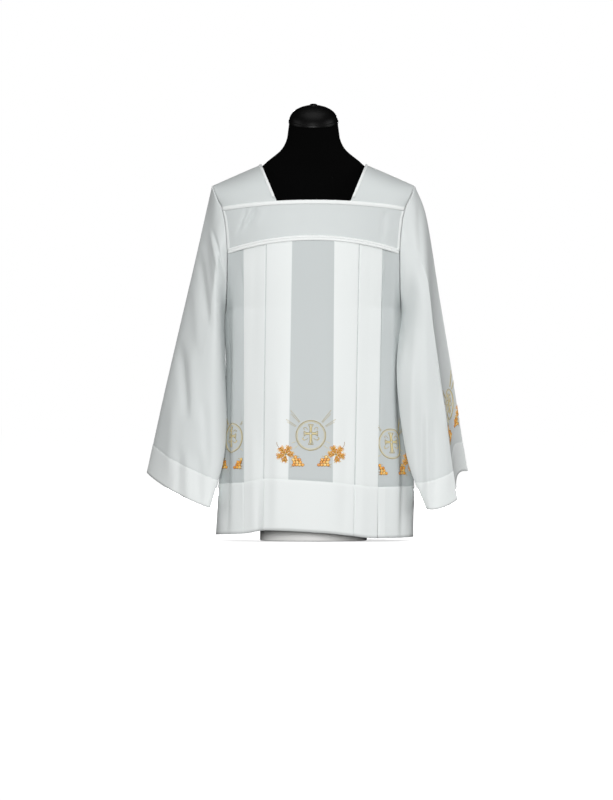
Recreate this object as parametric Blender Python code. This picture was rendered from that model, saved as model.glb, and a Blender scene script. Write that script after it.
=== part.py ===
"""A white surplice standing on a black limbless dress form.

Metres, +Z up. The origin is the middle of the foot's underside. The garment's front
faces -Y, and the wearer's left is +X. Sizes below are in millimetres.
"""

import math

import bmesh
import bpy
from mathutils import Vector

MM = 0.001

# Cloth and seams
WALL = 1.0  # thickness of every cloth wall
SEAM_GAP = 0.3  # between two pieces that meet or lie on each other
TAPE_WALL = 1.2
TAPE_GAP = 0.7  # under a tape, whose straight facets bridge those of two other pieces

# Garment body: its outline at each height
BODY_COLUMNS = ("height", "half_width", "front", "back")
BODY = (
    (0, 216, 150, 148),
    (130, 206, 147, 144),
    (290, 190, 139, 134),
    (400, 183, 131, 124),
    (470, 184, 127, 117),
    (513, 189, 125, 112),
    (650, 206, 121, 103),
    (744, 216, 111, 97),
    (830, 220, 104, 92),
)
BODY_ROUND = 2.35  # exponent of the outline's superellipse

# Armhole: a loop from the shoulder tip to the underarm
ARM_TOP = 783
ARM_BOTTOM = 513
ARM_MIDDLE = (ARM_TOP + ARM_BOTTOM) / 2
ARM_HALF = (ARM_TOP - ARM_BOTTOM) / 2
ARM_REACH = 65  # how far it comes to the front and the back
ARM_ROUND = 2.4
ARM_COLUMNS = ("height", "side")
ARM_LINE = (
    (513, 189),
    (560, 188),
    (636, 189),
    (700, 194),
    (733, 202),
    (755, 213),
    (783, 223),
)
ARM_INSET = 0.6  # by which the skirt's cloth stops short of the armhole line

# Seam lines across chest and back: height in the middle, and drop at the armhole
UPPER_SEAM = 744
UPPER_DROP = 14
LOWER_SEAM = 665
LOWER_DROP = 29

# Square neckline
NECK_BOTTOM = 79  # half width at the upper tape
NECK_TOP = 115  # half width at the shoulder ridge
RIDGE_NECK = 830  # height of the shoulder ridge at the neckline
SHOULDER_ROUND = 2.2  # exponent of the arch over the shoulder
NECK_EDGE_SHARE = 0.05  # width of the turned edge, as a share of the shoulder's

# Tapes: half width of each band, and how far towards the armholes they reach
UPPER_TAPE = 4.5
LOWER_TAPE = 5.5
TAPE_REACH = 0.98

# Hem line: height in the middle and fall towards the sides
HEM_MIDDLE = 21
HEM_FALL = 12

# Knife pleats of one half panel, fold edges outward, from the middle out: where the fold
# edge and the hidden tuck lie at the seam and at the hem
PLEAT_PITCH = 1.5  # from one layer of a pleat to the next
PLEATS_LEFT = (
    dict(edge_top=99, edge_hem=86, tuck_top=45.5, tuck_hem=41),
    dict(edge_top=152, edge_hem=139, tuck_top=102, tuck_hem=90),
)
PLEATS_RIGHT = (
    dict(edge_top=102, edge_hem=111, tuck_top=46.5, tuck_hem=57),
    dict(edge_top=154, edge_hem=153, tuck_top=105, tuck_hem=114),
)
SIDE_START = 159  # past which the side cloth comes back out to the armhole
RAMP = (0.35, 0.7, 1.0)  # its way out, a step for each column
ARMHOLE_HEIGHTS = (612, 582, 553, 530, 517)  # tops of the columns down the armhole

# Sleeves: each section is a closed curve through four edges, each (out, back, up). The
# curve's exponent is over 1 where it bulges. bulge is that of its outer front quarter, and
# is under 1 where the cloth sinks in behind the front fold.
SECTION_ROUND = 1.6
SLEEVE_RIGHT = (
    dict(
        outer=(238, 14, 722), front=(214, -70, 604), inner=(196, -16, 470), back=(212, 64, 604),
        bulge=1.9,
    ),
    dict(
        outer=(263, 24, 612), front=(230, -64, 480), inner=(194, -42, 372), back=(224, 58, 480),
        bulge=1.8,
    ),
    dict(
        outer=(294, 36, 480), front=(256, -56, 352), inner=(191, -58, 262), back=(240, 54, 360),
        bulge=1.7,
    ),
    dict(
        outer=(331, 46, 320), front=(287, -50, 226), inner=(199, -74, 172), back=(256, 54, 245),
        bulge=1.6,
    ),
    dict(
        outer=(369, 58, 150), front=(312, -44, 110), inner=(228, -88, 74), back=(280, 50, 112),
        bulge=1.5,
    ),
)
SLEEVE_LEFT = (
    dict(
        outer=(250, 8, 712), front=(243, -66, 604), inner=(191, -34, 470), back=(218, 64, 604),
        bulge=1.5,
    ),
    dict(
        outer=(279, 14, 535), front=(264, -67, 468), inner=(183, -66, 380), back=(222, 66, 456),
        bulge=1.15,
    ),
    dict(
        outer=(304, 18, 385), front=(283, -70, 332), inner=(190, -76, 278), back=(238, 78, 326),
        bulge=0.95,
    ),
    dict(
        outer=(323, 22, 262), front=(300, -70, 206), inner=(210, -84, 165), back=(262, 84, 215),
        bulge=0.85,
    ),
    dict(
        outer=(341, 26, 153), front=(316, -68, 91), inner=(248, -88, 72), back=(290, 86, 132),
        bulge=0.75,
    ),
)
SLEEVE_START = 1.5  # from the armhole line to the middle of the sleeve's wall
SLEEVE_SEAM = 0.8  # by which each half stops short of the seams along its outer and inner edges

# Dress form: its outline at each height, from the foot to under the cap
FORM_COLUMNS = ("height", "half_width", "front", "back")
FORM = (
    (24, 158, 104, 100),
    (250, 160, 106, 102),
    (400, 148, 98, 92),
    (520, 150, 98, 90),
    (650, 172, 100, 90),
    (730, 190, 97, 88),
    (768, 190, 84, 78),
    (790, 178, 73, 68),
    (806, 154, 66, 62),
    (818, 128, 63, 59),
    (828, 112, 61, 57),
    (838, 101, 60, 56),
    (849, 87, 58, 54),
    (860, 74, 56, 53),
    (872, 65, 54, 51),
    (890, 58, 52, 50),
    (921, 54, 50, 48),
)
FORM_ROUND = 2.3
FORM_RINGS = (30, 120, 250, 340, 430, 520, 590, 650, 700, 730, 750, 768, 780, 790, 798)
FORM_RINGS += (806, 812, 818, 823, 828, 833, 838, 844, 849, 855, 860, 866, 872, 881, 890)
FORM_BASE_EDGE = 6  # rounding of the form's lower edge
CAP_TILT = 26  # the neck's top falls this much from back to front
CAP_HEIGHT = 40
CAP_HALF_WIDTH = 55
CAP_HALF_DEPTH = 51
CAP_RIM = 7
FOOT_RADIUS = 118
FOOT_HEIGHT = 23.7

# Fineness of the faceted solids
BODY_ROWS = 8
SLEEVE_SIDES = 10  # columns of facets on each half
SLEEVE_RINGS = 11
FORM_SIDES = 32


def read_table(table, columns, name, at):
    """The named column of a table at a value of its first column, as a smooth curve."""
    col = columns.index(name)
    xs = [row[0] for row in table]
    ys = [row[col] for row in table]
    at = min(max(at, xs[0]), xs[-1])
    k = max(i for i in range(len(xs) - 1) if xs[i] <= at)
    slope = [(ys[i + 1] - ys[i]) / (xs[i + 1] - xs[i]) for i in range(len(xs) - 1)]

    def tangent(i):
        if i == 0 or i == len(xs) - 1:
            return slope[min(i, len(slope) - 1)]
        if slope[i - 1] * slope[i] <= 0:
            return 0.0
        return 2 * slope[i - 1] * slope[i] / (slope[i - 1] + slope[i])

    step = xs[k + 1] - xs[k]
    t = (at - xs[k]) / step
    rise = ys[k] * (1 + 2 * t) * (1 - t) ** 2 + ys[k + 1] * t * t * (3 - 2 * t)
    return rise + step * (tangent(k) * t * (1 - t) ** 2 - tangent(k + 1) * t * t * (1 - t))


def mix(a, b, t):
    return a + (b - a) * t


def power(value, exponent):
    """A signed power, which keeps a superellipse's two halves."""
    return math.copysign(abs(value) ** exponent, value)


# The garment's outline


def arm_side(height):
    return read_table(ARM_LINE, ARM_COLUMNS, "side", height)


def arm_reach(height):
    """How far the armhole loop stands to the front and the back at a height."""
    away = min(abs(height - ARM_MIDDLE) / ARM_HALF, 1.0)
    return ARM_REACH * (1 - away**ARM_ROUND) ** (1 / ARM_ROUND)


def half_width(height, face):
    """Half width of the garment, so that above the underarm it meets the armhole."""
    if height <= ARM_BOTTOM:
        return read_table(BODY, BODY_COLUMNS, "half_width", height)
    deep = depth(height, face)
    share = min(arm_reach(height) / deep, 0.95)
    return arm_side(height) / (1 - share**BODY_ROUND) ** (1 / BODY_ROUND)


def depth(height, face):
    return read_table(BODY, BODY_COLUMNS, "front" if face < 0 else "back", height)


def body_point(side, height, face, level=0.0):
    """The garment's surface at a distance to the side; face is -1 in front and 1 behind."""
    wide = half_width(height, face)
    deep = depth(height, face)
    share = min(abs(side) / wide, 1.0)
    y = face * deep * (1 - share**BODY_ROUND) ** (1 / BODY_ROUND)
    return moved_out(side, y, height, wide, deep, level)


def body_turn(turn, height, face, level=0.0):
    """The same surface by its turn from the middle (0) to the side seam (90 degrees)."""
    wide = half_width(height, face)
    deep = depth(height, face)
    side = wide * power(math.sin(turn), 2 / BODY_ROUND)
    y = face * deep * power(math.cos(turn), 2 / BODY_ROUND)
    return moved_out(side, y, height, wide, deep, level)


def moved_out(side, y, height, wide, deep, level):
    """A point of the outline, moved out by level along the outline's normal."""
    nx = power(side / wide, BODY_ROUND - 1) / wide
    ny = power(y / deep, BODY_ROUND - 1) / deep
    size = math.hypot(nx, ny) or 1.0
    return Vector((side + level * nx / size, y + level * ny / size, height))


def turn_of(side, height, face):
    share = min(abs(side) / half_width(height, face), 1.0)
    return math.copysign(math.asin(share ** (BODY_ROUND / 2)), side)


def seam_height(share, middle, drop):
    """Height of a seam across the chest; share is -1 and 1 at the armholes."""
    return middle - drop * share * share


# Mesh makers


def material(name, colour, rough):
    made = bpy.data.materials.new(name)
    made.use_nodes = True
    shader = made.node_tree.nodes["Principled BSDF"]
    shader.inputs["Base Color"].default_value = (*colour, 1)
    shader.inputs["Roughness"].default_value = rough
    shader.inputs["Metallic"].default_value = 0.0
    return made


def add_object(name, mesh_maker, made_of):
    """A named object from a bmesh in millimetres."""
    mesh_maker.verts.ensure_lookup_table()
    bmesh.ops.scale(mesh_maker, vec=(MM, MM, MM), verts=mesh_maker.verts)
    mesh = bpy.data.meshes.new(name)
    mesh_maker.to_mesh(mesh)
    mesh_maker.free()
    thing = bpy.data.objects.new(name, mesh)
    bpy.context.collection.objects.link(thing)
    mesh.materials.append(made_of)
    mesh.shade_smooth()
    mesh.set_sharp_from_angle(angle=math.radians(40))
    return thing


def sheet_mesh(rows, closed=False):
    """A sheet through rows of points. closed joins each row's ends into a ring."""
    made = bmesh.new()
    grid = [[made.verts.new(p) for p in row] for row in rows]
    count = len(rows[0])
    for low, high in zip(grid, grid[1:]):
        for i in range(count if closed else count - 1):
            j = (i + 1) % count
            made.faces.new((low[i], low[j], high[j], high[i]))
    return made


def walled(name, rows, made_of, wall=WALL, closed=False):
    """A cloth wall of even thickness about a sheet."""
    thing = add_object(name, sheet_mesh(rows, closed), made_of)
    solid = thing.modifiers.new("wall", "SOLIDIFY")
    solid.thickness = wall * MM
    solid.offset = 0
    solid.use_even_offset = True
    solid.use_quality_normals = True
    return thing


# Skirt panels


def fold_turn(side, level_from, level_to, outward):
    """Points round a fold, from one layer to the next, as (side, level)."""
    radius = abs(level_to - level_from) / 2
    middle = (level_from + level_to) / 2
    sign = 1 if level_to > level_from else -1
    points = []
    for step in (0.25, 0.5, 0.75):
        around = math.pi * (step - 0.5)
        reach = radius * math.cos(around) * (1 if outward else -1)
        points.append((side + reach, middle + sign * radius * math.sin(around)))
    return points


def pleat_path(pleats, share):
    """One half panel's cloth from the middle to past its pleats, as (side, level).

    share is 0 at the hem and 1 at the seam. The middle lies on top, at level 0.
    """
    path = [(0, 0), (pleats[0]["tuck_top"] / 2, 0)]
    level = 0.0
    for pleat in pleats:
        edge = mix(pleat["edge_hem"], pleat["edge_top"], share)
        tuck = mix(pleat["tuck_hem"], pleat["tuck_top"], share)
        stations = (tuck, mix(tuck, edge, 0.5), edge)
        below = level - PLEAT_PITCH
        lowest = below - PLEAT_PITCH
        path += [(side, level) for side in stations] + fold_turn(edge, level, below, True)
        path += [(side, below) for side in reversed(stations)]
        path += fold_turn(tuck, below, lowest, False)
        path += [(side, lowest) for side in stations]
        level = lowest
    return path + [(SIDE_START, level)]


def side_columns():
    """The cloth past the pleats, as (side, height of its top edge, risen). risen is how
    far it has come back out from under the pleats, and is 1 along the armhole."""
    tape_end = arm_side(LOWER_SEAM - LOWER_DROP)
    columns = []
    for risen in RAMP:
        side = mix(SIDE_START, tape_end - ARM_INSET, risen)
        columns.append((side, seam_height(side / tape_end, LOWER_SEAM, LOWER_DROP), risen))
    for height in ARMHOLE_HEIGHTS:
        columns.append((arm_side(height) - ARM_INSET, height, 1.0))
    return columns


def turn_share(side, height, face):
    """How far round from the last pleat to the side seam a point of the outline is."""
    first = turn_of(SIDE_START, height, face)
    return (turn_of(side, height, face) - first) / (math.pi / 2 - first)


def half_row(pleats, share, face):
    """One half of a panel's row, from the middle to the side seam."""
    half = []
    tape_end = arm_side(LOWER_SEAM - LOWER_DROP)
    for side, level in pleat_path(pleats, share):
        seam = seam_height(side / tape_end, LOWER_SEAM, LOWER_DROP)
        height = mix(hem_height(side), seam - SEAM_GAP, share)
        half.append(body_point(side, height, face, level))
    lowest = -2 * PLEAT_PITCH * len(pleats)
    columns = side_columns() + [(arm_side(ARM_BOTTOM), ARM_BOTTOM, 1.0)]
    for i, (side, top, risen) in enumerate(columns):
        part = mix((i + 1) / len(columns), turn_share(side, top, face), share)
        first = turn_of(SIDE_START, mix(HEM_MIDDLE, top, share), face)
        height = mix(HEM_MIDDLE - HEM_FALL, top - SEAM_GAP, share)
        half.append(body_turn(mix(first, math.pi / 2, part), height, face, lowest * (1 - risen)))
    half[-1].y += face * SEAM_GAP / 2
    return half


def skirt_row(share, face):
    """One row of a panel, from the right side seam to the left, at a share of its height."""
    right = [Vector((-p.x, p.y, p.z)) for p in half_row(PLEATS_RIGHT, share, face)]
    return list(reversed(right[1:])) + half_row(PLEATS_LEFT, share, face)


def hem_height(side):
    return HEM_MIDDLE - HEM_FALL * min(abs(side) / BODY[0][1], 1) ** 2


def make_panel(name, face, made_of):
    rows = [skirt_row(i / (BODY_ROWS - 1), face) for i in range(BODY_ROWS)]
    if face > 0:
        rows = [list(reversed(row)) for row in rows]
    walled(name, rows, made_of)


# Chest bands, shoulder pieces and tapes


def chest_point(share, lift, face, level=0.0):
    """The chest band: share runs from armhole to armhole, lift from the lower seam to
    the upper one."""
    low = seam_height(share, LOWER_SEAM, LOWER_DROP)
    high = seam_height(share, UPPER_SEAM, UPPER_DROP)
    height = mix(low, high, lift)
    return body_point(share * arm_side(height), height, face, level)


def make_chest(name, face, made_of):
    edge = 1 - SEAM_GAP / arm_side(ARM_MIDDLE)
    inset = SEAM_GAP / (UPPER_SEAM - LOWER_SEAM)
    shares = [edge * (i / 9 - 1) for i in range(19)]
    lifts = (inset, 0.33, 0.67, 1 - inset)
    rows = [[chest_point(share, lift, face) for share in shares] for lift in lifts]
    if face > 0:
        rows = [list(reversed(row)) for row in rows]
    walled(name, rows, made_of)


def make_tape(name, middle, drop, half, face, made_of):
    """A tape along a seam, which lies on the cloth from armhole to armhole."""
    level = (WALL + TAPE_WALL) / 2 + TAPE_GAP
    shares = [TAPE_REACH * (i / 10 - 1) for i in range(21)]
    rows = []
    for above in (-half, 0, half):
        row = []
        for share in shares:
            height = seam_height(share, middle, drop) + above
            row.append(body_point(share * arm_side(height), height, face, level))
        rows.append(row)
    if face > 0:
        rows = [list(reversed(row)) for row in rows]
    walled(name, rows, made_of, TAPE_WALL)


def shoulder_point(side, across, lift):
    """The shoulder piece: across runs from neckline (0) to armhole (1), and lift from the
    front tape (-1) over the ridge (0) to the back tape (1).

    It is ruled between the neckline's side and the armhole, both of them arches. Towards
    the tapes it takes on the chest's roundness."""
    face = -1 if lift < 0 else 1
    away = abs(lift)
    down = math.sin(away * math.pi / 2)
    neck_low = UPPER_SEAM + SEAM_GAP
    arm_low = UPPER_SEAM - UPPER_DROP + SEAM_GAP
    neck_front = body_point(NECK_BOTTOM, neck_low, face).y
    neck_up = math.cos(away * math.pi / 2) ** (2 / SHOULDER_ROUND)
    neck_x = mix(NECK_BOTTOM, NECK_TOP, neck_up)
    neck_y = neck_front * down ** (2 / SHOULDER_ROUND)
    neck_z = mix(neck_low, RIDGE_NECK, neck_up)
    arm_turn = math.acos(((arm_low - ARM_MIDDLE) / ARM_HALF) ** (ARM_ROUND / 2)) * away
    arm_z = ARM_MIDDLE + ARM_HALF * math.cos(arm_turn) ** (2 / ARM_ROUND)
    arm_y = face * ARM_REACH * math.sin(arm_turn) ** (2 / ARM_ROUND)
    x = mix(neck_x, arm_side(arm_z), across)
    y = mix(neck_y, arm_y, across)
    z = mix(neck_z, arm_z, across)
    seam_x = mix(NECK_BOTTOM, arm_side(arm_low), across)
    seam_z = seam_height(seam_x / arm_side(arm_low), UPPER_SEAM, UPPER_DROP) + SEAM_GAP
    chord_y = mix(neck_front, face * arm_reach(arm_low), across)
    chord_z = mix(neck_low, arm_low, across)
    y += (body_point(seam_x, chord_z, face).y - chord_y) * down**2
    z += (seam_z - chord_z) * down**2
    return Vector((side * x, y, z))


def shoulder_normal(side, across, lift):
    step = 0.01
    a = shoulder_point(side, across + step, lift) - shoulder_point(side, across - step, lift)
    b = shoulder_point(side, across, lift + step) - shoulder_point(side, across, lift - step)
    normal = a.cross(b).normalized()
    outward = Vector((0, math.sin(lift * math.pi / 2), math.cos(lift * math.pi / 2)))
    return normal if normal.dot(outward) > 0 else -normal


def shoulder_lifts():
    """Rows over the shoulder, with one more by each tape, where the neck edge ends."""
    middle = [i / 8 for i in range(-7, 8)]
    return [-1.0, -0.95] + middle + [0.95, 1.0]


def make_shoulder(name, side, made_of):
    lifts = shoulder_lifts()
    acrosses = [0, NECK_EDGE_SHARE, 0.25, 0.5, 0.75, 1 - SEAM_GAP / (ARM_TOP - NECK_TOP)]
    rows = [[shoulder_point(side, a, lift) for a in acrosses] for lift in lifts]
    if side < 0:
        rows = [list(reversed(row)) for row in rows]
    walled(name, rows, made_of)


def make_neck_edge(name, side, made_of):
    """The turned edge down a side of the neckline, on the shoulder piece's surface."""
    level = (WALL + TAPE_WALL) / 2 + SEAM_GAP
    rows = []
    for lift in shoulder_lifts()[1:-1]:
        row = []
        for across in (0.0, NECK_EDGE_SHARE):
            out = shoulder_normal(side, across, lift) * level
            row.append(shoulder_point(side, across, lift) + out)
        rows.append(row if side > 0 else list(reversed(row)))
    walled(name, rows, made_of, TAPE_WALL)


# Sleeves


def armhole_point(turn):
    """The armhole loop; turn 0 is the shoulder tip, 90 degrees the front."""
    c = power(math.cos(turn), 2 / ARM_ROUND)
    s = power(math.sin(turn), 2 / ARM_ROUND)
    height = ARM_MIDDLE + ARM_HALF * c
    return Vector((arm_side(height), -ARM_REACH * s, height))


def section_point(section, turn):
    """A sleeve section: turn 0 is its outer edge, 90 degrees its front edge."""
    exponent = section["bulge"] if 0 < turn < math.pi / 2 else SECTION_ROUND
    c = power(math.cos(turn), 2 / exponent)
    s = power(math.sin(turn), 2 / exponent)
    outer = Vector(section["outer"])
    inner = Vector(section["inner"])
    middle = (outer + inner) / 2
    ahead = Vector(section["front"]) - middle
    behind = Vector(section["back"]) - middle
    return middle + (outer - middle) * c + (ahead * s if s > 0 else behind * -s)


def sleeve_point(sections, turn, share):
    """A sleeve from the armhole (share 0) to the cuff (share 1), as a smooth curve
    through its sections."""
    start = armhole_point(turn) + Vector((SLEEVE_START, 0, 0))
    line = [start] + [section_point(section, turn) for section in sections]
    at = share * (len(line) - 1)
    k = min(int(at), len(line) - 2)
    t = at - k
    before = line[k - 1] if k > 0 else line[0] * 2 - line[1]
    after = line[k + 2] if k + 2 < len(line) else line[-1] * 2 - line[-2]
    a, b = line[k], line[k + 1]
    turn_a = (b - before) / 2
    turn_b = (after - a) / 2
    point = a * ((1 + 2 * t) * (1 - t) ** 2) + b * (t * t * (3 - 2 * t))
    return point + turn_a * (t * (1 - t) ** 2) - turn_b * (t * t * (1 - t))


def make_sleeve_half(name, side, face, sections, made_of):
    """The front (face -1) or back (1) half of a sleeve, from its outer to its inner edge."""
    rows = []
    for ring in range(SLEEVE_RINGS):
        share = ring / (SLEEVE_RINGS - 1)
        row = []
        for i in range(SLEEVE_SIDES + 1):
            p = sleeve_point(sections, -face * math.pi * i / SLEEVE_SIDES, share)
            row.append(Vector((side * p.x, p.y, p.z)))
        row[0] += (row[1] - row[0]).normalized() * SLEEVE_SEAM
        row[-1] += (row[-2] - row[-1]).normalized() * SLEEVE_SEAM
        rows.append(row if side * face < 0 else list(reversed(row)))
    walled(name, rows, made_of)


# Dress form


def outline_ring(height, wide, front, back, exponent, sides, fall=0.0):
    """A closed level outline, which falls to the front by fall."""
    ring = []
    for i in range(sides):
        turn = 2 * math.pi * i / sides
        x = wide * power(math.cos(turn), 2 / exponent)
        y = power(math.sin(turn), 2 / exponent)
        y *= back if y > 0 else front
        ring.append(Vector((x, y, height + fall * y / (front + back))))
    return ring


def turned_solid(name, rings, made_of):
    """A closed solid through rings, with flat ends."""
    made = sheet_mesh(rings, closed=True)
    made.verts.ensure_lookup_table()
    count = len(rings[0])
    made.faces.new(list(reversed(made.verts[:count])))
    made.faces.new(made.verts[-count:])
    bmesh.ops.recalc_face_normals(made, faces=made.faces)
    return add_object(name, made, made_of)


def make_form(made_of):
    low = FORM[0]
    base = [size - FORM_BASE_EDGE for size in low[1:]]
    rings = [outline_ring(low[0], *base, FORM_ROUND, FORM_SIDES)]
    for height in FORM_RINGS:
        sizes = [read_table(FORM, FORM_COLUMNS, n, height) for n in FORM_COLUMNS[1:]]
        rings.append(outline_ring(height, *sizes, FORM_ROUND, FORM_SIDES))
    top = FORM[-1]
    rings.append(outline_ring(top[0], top[1], top[2], top[3], 2.0, FORM_SIDES, CAP_TILT))
    turned_solid("form_body", rings, made_of)


def make_cap(made_of):
    """The neck cap: a rim, a low dome and a small knob, tilted with the neck's top."""
    base = FORM[-1][0] + SEAM_GAP
    rings = []
    for lift in (0, CAP_RIM):
        rings.append((lift, 1.0))
    for step in range(1, 6):
        around = math.radians(15 * step)
        rings.append((CAP_RIM + (CAP_HEIGHT - CAP_RIM) * math.sin(around), math.cos(around)))
    made = []
    for lift, share in rings:
        wide, deep = CAP_HALF_WIDTH * share, CAP_HALF_DEPTH * share
        ring = outline_ring(base + lift, wide, deep, deep, 2.0, FORM_SIDES)
        for p in ring:
            p.z += CAP_TILT * p.y / (FORM[-1][2] + FORM[-1][3])
        made.append(ring)
    turned_solid("form_cap", made, made_of)


def make_foot(made_of):
    rings = []
    for height, radius in ((0, FOOT_RADIUS - 2), (2, FOOT_RADIUS), (FOOT_HEIGHT, FOOT_RADIUS)):
        rings.append(outline_ring(height, radius, radius * 0.8, radius * 0.8, 2.0, FORM_SIDES))
    turned_solid("form_foot", rings, made_of)


def build():
    for thing in list(bpy.data.objects):
        bpy.data.objects.remove(thing, do_unlink=True)
    cloth = material("white polyester cloth", (0.82, 0.85, 0.85), 0.6)
    tape = material("white woven tape", (0.88, 0.90, 0.90), 0.55)
    black = material("black form cover", (0.01, 0.01, 0.01), 0.7)
    gloss = material("black lacquered cap", (0.01, 0.01, 0.01), 0.25)
    pale = material("pale painted foot", (0.8, 0.8, 0.8), 0.5)
    make_form(black)
    make_cap(gloss)
    make_foot(pale)
    for word, face in (("front", -1), ("back", 1)):
        make_panel(f"{word}_panel", face, cloth)
        make_chest(f"yoke_{word}", face, cloth)
        make_tape(f"tape_{word}_upper", UPPER_SEAM, UPPER_DROP, UPPER_TAPE, face, tape)
        make_tape(f"tape_{word}_lower", LOWER_SEAM, LOWER_DROP, LOWER_TAPE, face, tape)
    for word, side, sections in (("left", 1, SLEEVE_LEFT), ("right", -1, SLEEVE_RIGHT)):
        make_shoulder(f"yoke_shoulder_{word}", side, cloth)
        make_neck_edge(f"neck_edge_{word}", side, tape)
        make_sleeve_half(f"sleeve_{word}_front", side, -1, sections, cloth)
        make_sleeve_half(f"sleeve_{word}_back", side, 1, sections, cloth)


build()
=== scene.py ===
"""A white surplice on a black limbless dress form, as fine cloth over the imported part.

Metres, +Z up. The garment's front faces -Y and the wearer's left is +X. Lengths in the
tables and in the shape functions are in millimetres, and become metres in each mesh.
"""

import bisect
import math

import bmesh
import bpy
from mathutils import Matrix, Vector
from mathutils.bvhtree import BVHTree


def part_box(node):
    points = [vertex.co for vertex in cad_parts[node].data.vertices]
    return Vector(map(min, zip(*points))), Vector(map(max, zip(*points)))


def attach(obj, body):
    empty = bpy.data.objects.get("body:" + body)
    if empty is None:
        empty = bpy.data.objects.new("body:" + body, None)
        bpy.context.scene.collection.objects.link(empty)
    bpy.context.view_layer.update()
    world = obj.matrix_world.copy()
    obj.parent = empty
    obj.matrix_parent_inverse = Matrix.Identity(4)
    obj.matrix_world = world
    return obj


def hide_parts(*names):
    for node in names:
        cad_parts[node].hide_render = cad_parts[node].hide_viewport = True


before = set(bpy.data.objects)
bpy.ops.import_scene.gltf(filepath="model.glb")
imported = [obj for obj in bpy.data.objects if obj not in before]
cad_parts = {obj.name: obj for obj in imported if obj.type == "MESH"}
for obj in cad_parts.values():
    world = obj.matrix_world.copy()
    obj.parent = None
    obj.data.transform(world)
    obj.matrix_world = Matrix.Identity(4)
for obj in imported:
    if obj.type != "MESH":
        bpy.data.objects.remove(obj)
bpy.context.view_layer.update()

MM = 0.001

# Cloth
CLOTH = 0.5  # thickness of the cloth
TAPE_CLOTH = 0.6
# How white each part is, from a single ply (0) to several (1)
CHEST_PLY = 0.35
SHOULDER_PLY = 0.4
SLEEVE_PLY = 0.6
SIDE_HEM_PLY = 0.85

# Garment body: its outline at each height
BODY_COLUMNS = ("height", "half_width", "front", "back")
BODY = (
    (0, 216, 150, 148),
    (130, 206, 147, 144),
    (290, 196, 139, 134),
    (400, 194, 131, 124),
    (470, 196.5, 127, 117),
    (500, 195.5, 125.6, 113.6),
    (513, 193, 125, 112),
    (650, 206, 121, 103),
    (744, 216, 111, 97),
    (830, 220, 104, 92),
)
BODY_ROUND = 2.35

# Armhole
ARM_TOP = 783
ARM_BOTTOM = 513
ARM_MIDDLE = (ARM_TOP + ARM_BOTTOM) / 2
ARM_HALF = (ARM_TOP - ARM_BOTTOM) / 2
ARM_REACH = 65
ARM_ROUND = 2.4
ARM_COLUMNS = ("height", "side")
ARM_LINE = (
    (513, 193),
    (560, 190),
    (636, 189),
    (700, 194),
    (733, 202),
    (755, 213),
    (783, 223),
)
ARM_INSET = 0.4

# Seams, neckline and tapes
UPPER_SEAM = 744
UPPER_DROP = 14
LOWER_SEAM = 665
LOWER_DROP = 29
SEAM_GAP = 0.3
NECK_BOTTOM = 79
NECK_TOP = 115
RIDGE_NECK = 830
SHOULDER_ROUND = 2.2
NECK_EDGE_SHARE = 0.05
UPPER_TAPE = 4.5
LOWER_TAPE = 5.5
TAPE_REACH = 0.985
TAPE_RIDGE = 1.3
EDGE_REACH = 0.93
EDGE_RIDGE = 1.1
CHEST_RIM = 0.974  # past this share of its width the chest band is turned in
ALLOWANCE = 5.5  # width of that turned-in edge
ALLOWANCE_PROUD = 0.9
SHOULDER_SAG = 0.6

# Hem: the line of the lower edge across the front and the back, and the turned-up band
HEM_COLUMNS = ("side", "height")
HEM = (
    (-216, 13),
    (-153, 18),
    (-104, 25.5),
    (19, 20),
    (82, 13.5),
    (138, 7.5),
    (216, 9),
)
HEM_BAND = 112
HEM_MIDDLE = 18  # the usual height of the hem, by which the pleats' lines run
HEM_PROUD = 0.5
STITCH = 1.2  # half width of the dip along a line of stitches
STITCH_DIP = 0.45
STITCH_REACH = 3
PANEL_LONG = 500  # about how far a panel runs above its band
BAND_ROWS = 15
PANEL_ROWS = 76

# Knife pleats of each half panel, and how far each opens at the hem, from what height
PLEAT_PITCH = 1.1
CREASE = 1.6  # dip of the cloth just past a pleat's edge
CREASE_WIDE = 2.4
OPEN_WIDE = 10
VALLEY = 6.5  # the valley that the side cloth makes beside the outer pleat
VALLEY_WIDE = 9
VALLEY_TOP, VALLEY_TOP_FADE = 618, 60
VALLEY_LOW, VALLEY_LOW_FADE = 250, 110
PLEATS = {
    1: (
        dict(edge_top=99, edge_hem=86, tuck_top=45.5, tuck_hem=41, gap=3, opens=150),
        dict(edge_top=152, edge_hem=139, tuck_top=102, tuck_hem=90, gap=9, opens=150),
    ),
    -1: (
        dict(edge_top=102, edge_hem=109, tuck_top=46.5, tuck_hem=57, gap=10, opens=285),
        dict(edge_top=154, edge_hem=153, tuck_top=105, tuck_hem=114, gap=4, opens=120),
    ),
}
SIDE_START = 159
# The skirt's left side swings out about a height, more the further it is from the middle
FLARE = 0.23
FLARE_START = 150
FLARE_HEIGHT = 150
FLARE_TALL = 130

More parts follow.
